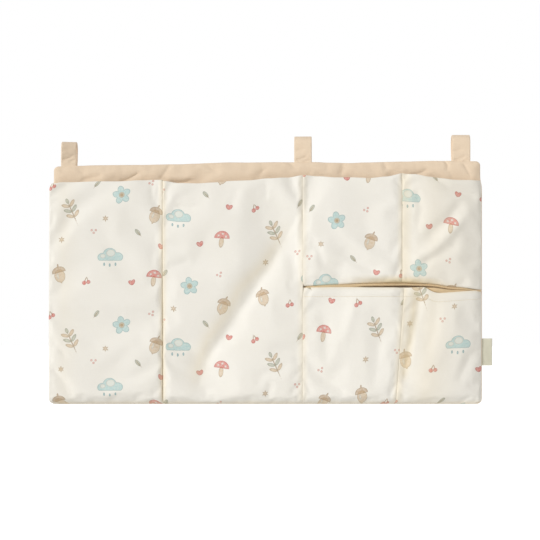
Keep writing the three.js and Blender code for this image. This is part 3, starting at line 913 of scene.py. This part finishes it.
def add_stitches(name, rows, finish):
    """Rows of stitches: the spindle of thread is copied from each point of a row towards the next."""
    sewing = bmesh.new()
    for row in rows:
        for start, end in zip(row, row[1:]):
            stitch = (end - start) * STITCH_SHARE
            turn = stitch.to_track_quat("Z", "Y").to_matrix().to_4x4()
            size = Matrix.Diagonal((THREAD_RADIUS, THREAD_RADIUS, stitch.length / 2, 1))
            known = len(sewing.verts)
            sewing.from_mesh(spindle.data)
            sewing.verts.ensure_lookup_table()
            place = Matrix.Translation(start + stitch / 2) @ turn @ size
            bmesh.ops.transform(sewing, matrix=place, verts=sewing.verts[known:])
    mesh = bpy.data.meshes.new(name)
    sewing.to_mesh(mesh)
    sewing.free()
    mesh.materials.append(finish)
    stitches = bpy.data.objects.new(name, mesh)
    bpy.context.scene.collection.objects.link(stitches)
    return stitches


def run(start, end):
    """Places a stitch apart from one point of the flat panel to another, once the cloth hangs, as (x, z)."""
    start, end = Vector(start), Vector(end)
    count = max(1, round((end - start).length / STITCH_PITCH))
    return [(x, lifted(x, z)) for x, z in (start.lerp(end, index / count) for index in range(count + 1))]


def laid_on(pieces, places, side, stand=0.3):
    """The places, laid on the first of these pieces as seen from the front (-1) or the rear (1). Drawn-in
    thread has a stand below 0."""
    laid = []
    for x, z in places:
        found = [piece.ray_cast(Vector((x, side, z)), Vector((0, -side, 0))) for piece in pieces]
        points = [point + normal * THREAD_RADIUS * stand for hit, point, normal, _ in found if hit]
        if points:
            laid.append(max(points, key=lambda point: side * point.y))
    return laid


LOW_END = PANEL_FOOT + 4 * MM
DIVIDERS = [
    ("left_divider", (left_divider, LOW_END), (left_divider, MOUTH - 4 * MM)),
    ("middle_divider", (middle_divider, LOW_END), (middle_divider, MOUTH - 2 * MM)),
    ("upper_divider", (right_divider, UPPER_FOOT + 5 * MM), (right_divider, MOUTH + 2 * MM)),
    ("lower_divider", (right_divider - 9 * MM, LOW_END), (right_divider + 3 * MM, UPPER_FOOT - 6 * MM)),
]
for name, low, high in DIVIDERS:
    places = run(low, high)
    straight = [(middle_of(name + "_thread").x, z) for x, z in places]
    front_row = laid_on(pockets.values(), places, -1, stand=-0.5)
    thread = add_stitches(name + "_stitches", [front_row, laid_on([panel], straight, 1)], cream_thread)
    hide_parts(name + "_thread")
    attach(thread, "panel")

OVERCAST_PITCH = 2.5 * MM
OVERCAST_TURN = 58
OVERCAST_SLANT = 200
OVERCAST_STAND = 0.5 * THREAD_RADIUS
for roll in SEWN_ROLLS:
    loops = []
    count = round((roll.end - roll.start) / OVERCAST_PITCH)
    for index in range(2, count - 1):
        loop = []
        for turn in (OVERCAST_TURN, 0, -OVERCAST_TURN):
            middle, radius = roll.point((index - turn / OVERCAST_SLANT) / count)
            outwards = Vector((0, -cos(radians(turn)), sin(radians(turn))))
            loop.append(middle + outwards * (radius + OVERCAST_STAND))
        loops.append(loop)
    overcast = add_stitches(roll.name + "_stitches", loops, straw_thread)
    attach(overcast, "panel")

EDGE_ROW = 4.5 * MM
CUT_CORNER = 9 * MM
TOP_CUT_WIDE, TOP_CUT_HIGH = 1.4 * CUT_CORNER, 3 * CUT_CORNER
edge, low, high = PANEL_HALF - EDGE_ROW, PANEL_FOOT + EDGE_ROW, PANEL_TOP - EDGE_ROW
edge_corners = [
    (-edge, low + CUT_CORNER), (-edge + CUT_CORNER, low), (edge - CUT_CORNER, low), (edge, low + CUT_CORNER),
    (edge, high - TOP_CUT_HIGH), (edge - TOP_CUT_WIDE, high), (-edge + TOP_CUT_WIDE, high),
    (-edge, high - TOP_CUT_HIGH), (-edge, low + CUT_CORNER),
]
edge_row = [place for ends in zip(edge_corners, edge_corners[1:]) for place in run(*ends)[:-1]]
cross_row = run((middle_divider, UPPER_FOOT), (PANEL_HALF - 4 * MM, UPPER_FOOT))
rear_rows = [laid_on([panel], cross_row, 1), laid_on([panel], edge_row, 1)]
rear_stitches = add_stitches("panel_rear_stitches", rear_rows, cream_thread)
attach(rear_stitches, "panel")

HEM_ROW_END = 2 * MM
for cut in lower_cuts:
    both_halves = [pockets[cut.name, "left"], pockets[cut.name, "right"]]
    row_end = HEM_ROW_END / cut.wide
    for side, first, last in (("left", row_end, 0.5), ("right", 0.5, 1 - row_end)):
        count = round((last - first) * cut.wide / STITCH_PITCH)
        shares = [first + (last - first) * index / count for index in range(count + 1)]
        places = [pocket_place(cut, share, 1 - HEM / cut.high) for share in shares]
        hem_row = laid_on(both_halves, [(place.x, place.z) for place in places], -1)
        hem_stitches = add_stitches(cut.name + "_" + side + "_hem_stitches", [hem_row], cream_thread)
        gape(hem_stitches, cut, side)
bpy.data.objects.remove(spindle)


# Straps. Three doubled strips of the beige cotton, folded lengthwise and turned, each caught in the panel's
# top seam. A strap passes over the rail and comes down behind the panel, where hook and loop tape closes it.

STRAP_THICK = 1.8 * MM
CROWN_RADIUS = 10.8 * MM
STRAP_ROOT = PANEL_TOP - 6 * MM
TAIL_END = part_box("left_strap_rear")[0].z
TAPE_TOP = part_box("left_loop_tape")[1].z
TAIL_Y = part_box("left_loop_tape")[1].y + 1.1 * MM
TAIL_CURL = 0.8 * MM
TWIST_REACH = 16 * MM
DROOP, DROOP_SIZE, DROOP_REACH = 0.5 * MM, 12 * MM, 8 * MM
STRAP_SEED = 11
LEAN_LOW, LEAN_HIGH = -2 * MM, 7 * MM
# Of each strap: its width, the height where its crown starts, its turn in degrees and its shift to the right.
STRAP_LOOKS = ((21.4, -1.9, 17, -2.4), (24.4, 5.6, -7, 0.8), (25.0, 7.8, -4, 0.4))
STRAP_FOLDS = [
    (((-11, 7), (-2, 9), (6, 13)), 1.4, 3.5, 5), (((1, 5), (11, 8)), 1.3, 3, 4),
    (((-12, 19), (3, 23)), 0.9, 5, 5),
]


def steps(count):
    """Even shares of a length, from 0 to the last one before 1."""
    return [index / count for index in range(count)]


def strap_line(rise):
    """The strap's middle line from its root over the rail to its free end, as (y, z), and which point is the
    top of its crown."""
    front = [(PANEL_MIDDLE, STRAP_ROOT + (rise - STRAP_ROOT) * share) for share in steps(22)]
    crown = [(-CROWN_RADIUS * cos(pi * share), rise + CROWN_RADIUS * sin(pi * share)) for share in steps(16)]
    rear = [(CROWN_RADIUS + (TAIL_Y - CROWN_RADIUS) * ease(share), rise + (TAPE_TOP - rise) * share)
            for share in steps(18)]
    tail = [(TAIL_Y + TAIL_CURL * share ** 3, TAPE_TOP + (TAIL_END - TAPE_TOP) * share)
            for share in (*steps(10), 1)]
    return front + crown + rear + tail, len(front) + len(crown) // 2


def add_strap(name, line, centre, width, twist, seed):
    """One length of strap: a net laid along the line, slightly turned about its length, and thickened."""
    strap = add_cloth(name, columns=12, rows=len(line) - 1)
    lengths = [0.0]
    for (y0, z0), (y1, z1) in zip(line, line[1:]):
        lengths.append(lengths[-1] + hypot(y1 - y0, z1 - z0))

    def place(across, along):
        y, z = line[round(along * (len(line) - 1))]
        height, aside = z - PANEL_TOP, (across - 0.5) * width
        turn = radians(twist) * ease(height / TWIST_REACH)
        droop = DROOP * ripple(aside, z, DROOP_SIZE, seed) * ease(height / DROOP_REACH)
        crease = fold_depth(STRAP_FOLDS, aside / MM, height / MM) * MM * ease((PANEL_MIDDLE - y) / MM + 1)
        return Vector((centre + aside * cos(turn), y + aside * sin(turn) + droop + crease, z))

    shape_cloth(strap, place, lambda s, t: (s * width, lengths[round(t * (len(line) - 1))]))
    use_modifier(strap, "SOLIDIFY", thickness=STRAP_THICK, offset=0)
    round_off(strap)
    strap.data.materials.append(beige_cotton)
    return strap


for number, (name, (width, rise, twist, aside)) in enumerate(zip(STRAPS, STRAP_LOOKS)):
    line, top = strap_line(rise * MM)
    centre = strap_places[number] + aside * MM
    root = lifted(centre, PANEL_TOP)
    front = add_strap(name + "_rise", line[:top + 1], centre, width * MM, twist, STRAP_SEED + number)
    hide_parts(name + "_front")
    root + LEAN_LOW
    root + LEAN_HIGH
    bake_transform(front)
    rear = add_strap(name + "_fall", line[top:], centre, width * MM, twist, STRAP_SEED + number)
    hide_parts(name + "_rear")
    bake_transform(rear)


# Hook and loop tapes. Woven nylon patches with rounded corners: stiff little hooks on the panel's rear,
# and a napped field of loops on each strap end. Both are sewn on round their edges.

TAPE_BASE = 0.45
TAPE_ROUNDING = 0.45
PILE_MARGIN = 2 * MM
PILE_RADIUS = 0.16 * MM
PILE_SEAT = 0.3
tape_finish, tape_shader, tape_place = start_finish("nylon tape", roughness=0.55)
tape_grain = speckle(tape_place, size=0.02, detail=FINE_DETAIL)
mixed(dye(226, 214, 194), dye(206, 190, 166), tape_grain).feed(tape_shader, "Base Color")
emboss(tape_shader, tape_grain, depth=0.2 * MM)


def add_tape(name, node, pile_side, pile_angle, pile_size, counts):
    """One patch of tape in its node's place: a bevelled woven base and its field of hooks or loops."""
    low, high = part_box(node)
    wide, deep, tall = (high[axis] - low[axis] for axis in range(3))
    base = deep * TAPE_BASE
    stand = deep - base
    base_y = low.y + base / 2 if pile_side > 0 else high.y - base / 2
    pick()
    bpy.ops.mesh.primitive_cube_add(size=1, location=((low.x + high.x) / 2, base_y, (low.z + high.z) / 2))
    tape = bpy.context.object
    tape.name = name
    tape.scale = (wide, base, tall)
    bpy.ops.object.transform_apply(location=True, rotation=True, scale=True)
    use_modifier(tape, "BEVEL", width=base * TAPE_ROUNDING, segments=3, limit_method="NONE")
    bpy.ops.mesh.primitive_torus_add(major_segments=8, minor_segments=3, major_radius=stand * pile_size,
                                     minor_radius=PILE_RADIUS)
    pile = bpy.context.object
    pile.rotation_euler = (0, pi / 2, radians(pile_angle))
    bpy.ops.object.transform_apply(location=True, rotation=True, scale=True)
    across = ((wide - 2 * PILE_MARGIN) / (counts[0] - 1), 0, 0)
    along = (0, 0, (tall - 2 * PILE_MARGIN) / (counts[1] - 1))
    for count, step in zip(counts, (across, along)):
        use_modifier(pile, "ARRAY", count=count, use_relative_offset=False, use_constant_offset=True,
                     constant_offset_displace=step)
    face = base_y + pile_side * base / 2
    pile.location = (low.x + PILE_MARGIN, face + pile_side * stand * PILE_SEAT, low.z + PILE_MARGIN)
    pick(tape, pile)
    bpy.ops.object.join()
    tape.data.materials.clear()
    tape.data.materials.append(tape_finish)
    tape.data.shade_smooth()
    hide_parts(node)
    return tape


for strap in STRAPS:
    side = strap.replace("_strap", "")
    hooks = add_tape(side + "_hooks", side + "_hook_tape", pile_side=1, pile_angle=0, pile_size=0.5,
                     counts=(10, 15))
    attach(hooks, "panel")
    loops = add_tape(side + "_loops", side + "_loop_tape", pile_side=-1, pile_angle=35, pile_size=0.55,
                     counts=(11, 16))
    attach(loops, strap + "_end")


# Side label. A bare strip of ribbed grey-beige ribbon, folded once into two leaves.
# Its two ends are caught together in the seam on the panel's right side, so that the fold stands out.

label_low, label_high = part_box("side_label")
LABEL_HEIGHT = label_high.z - label_low.z
LABEL_ROOT = PANEL_HALF - 4 * MM
FOLD_ALLOWANCE = 1.2 * MM
LABEL_RUN = label_high.x - FOLD_ALLOWANCE - LABEL_ROOT
LEAF_GAP, LEAF_STRETCH, LEAF_PARTING = 0.55 * MM, 1.08, 10
FOLD_ROUND, FOLD_START, FOLD_SHARE = 0.5 * MM, 0.9, 0.1
LABEL_CURL, LABEL_CURL_REACH = 0.9 * MM, 14 * MM
CURL_START, CURL_TURN = 0.4, 3.2
RIBBON_THICK = 0.35 * MM
RIB_TONE, SPOT_TONE, SPOT_SIZE = 0.3, 0.5, 6 * MM
label_finish, label_shader, label_place = start_finish("ribbed ribbon", roughness=0.6, sheen=0.1)
rib_wave = {"Vector": label_place, "Scale": 220.0}
ribs = label_place.node("ShaderNodeTexWave", {"bands_direction": "X"}, rib_wave)
label_tone = ribs * RIB_TONE + speckle(label_place, SPOT_SIZE) * SPOT_TONE
mixed(dye(228, 225, 205), dye(204, 201, 181), label_tone).feed(label_shader, "Base Color")
emboss(label_shader, ribs, depth=0.15 * MM)


def ribbon_place(across, along):
    """Point of the ribbon: out along its front leaf, round the fold and back along its rear leaf."""
    out = 1 - abs(2 * across - 1)
    x = LABEL_ROOT + LABEL_RUN * min(out * LEAF_STRETCH, 1.0)
    x += FOLD_ROUND * ease((out - FOLD_START) / FOLD_SHARE)
    leaf_y = LEAF_GAP * (1 if across > 0.5 else -1) * ease((1 - out) * LEAF_PARTING)
    z = label_low.z + along * LABEL_HEIGHT
    curl = LABEL_CURL * sin(CURL_TURN * along + CURL_START) * ease((x - PANEL_HALF) / LABEL_CURL_REACH) ** 2
    return Vector((x, PANEL_MIDDLE + leaf_y + curl, lifted(x, z)))


label = add_cloth("side_label_ribbon", columns=26, rows=14)
shape_cloth(label, ribbon_place, lambda s, t: (s * 2 * LABEL_RUN, t * LABEL_HEIGHT))
use_modifier(label, "SOLIDIFY", thickness=RIBBON_THICK, offset=0)
round_off(label)
label.data.materials.append(label_finish)
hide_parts("side_label")
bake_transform(label)


# Floor, light and camera. The caddy hangs over a pale floor in a bright, even studio, with a soft sun from
# the upper left, a fill lamp at the front and one behind. The camera looks straight at the pockets.

FLOOR_DROP = 0.22
CADDY_CENTRE = Vector((0, 0, -0.18))


def camera_ray(tree):
    """1 where the camera itself looks, and 0 for the light that is thrown on."""
    return Tone(tree, tree.nodes.new("ShaderNodeLightPath").outputs["Is Camera Ray"])


pick()
bpy.ops.mesh.primitive_plane_add(size=14, location=(0, 0, PANEL_FOOT - FLOOR_DROP))
floor = bpy.context.object
floor.name = "floor"
floor_finish = bpy.data.materials.new("pale floor")
floor_finish.use_nodes = True
floor_shader = floor_finish.node_tree.nodes["Principled BSDF"]
floor_shader.inputs["Base Color"].default_value = (0.8, 0.8, 0.79, 1)
floor_shader.inputs["Roughness"].default_value = 0.9
floor_shader.inputs["Emission Strength"].default_value = 0.8
camera_ray(floor_finish.node_tree).feed(floor_shader, "Emission Color")
floor.data.materials.append(floor_finish)

world = bpy.data.worlds.new("studio")
bpy.context.scene.world = world
world.use_nodes = True
studio = world.node_tree
background = studio.nodes["Background"]
background.inputs["Color"].default_value = (1.0, 0.975, 0.93, 1)
background.inputs["Strength"].default_value = 0.5
seen = camera_ray(studio)
backdrop = seen.node("ShaderNodeBackground", {}, {"Color": (1, 1, 1, 1), "Strength": 1.0})
either = seen.node("ShaderNodeMixShader", {}, {0: seen, 1: Tone(studio, background.outputs[0]), 2: backdrop})
either.feed(studio.nodes["World Output"], "Surface")


def add_lamp(kind, name, place, strength):
    """A soft studio lamp of this kind, turned towards the middle of the caddy."""
    bpy.ops.object.light_add(type=kind, location=place)
    lamp = bpy.context.object
    lamp.name = name
    lamp.data.energy = strength
    lamp.rotation_euler = (CADDY_CENTRE - lamp.location).to_track_quat("-Z", "Y").to_euler()
    return lamp.data


add_lamp("SUN", "key lamp", place=(-4.4, -3.4, 1.5), strength=1.8).angle = radians(18)
add_lamp("AREA", "fill lamp", place=(1.8, -2.6, 0.5), strength=5).size = 1.8
add_lamp("AREA", "rear lamp", place=(1.8, 2.0, 1.0), strength=26).size = 1.2

bpy.ops.object.camera_add(location=(0.0059, -2.5, -0.1688), rotation=(pi / 2, 0, 0))
camera = bpy.context.object
camera.data.sensor_width = 36
camera.data.lens = 119.6
bpy.context.scene.camera = camera
bpy.context.scene.view_settings.view_transform = "Standard"
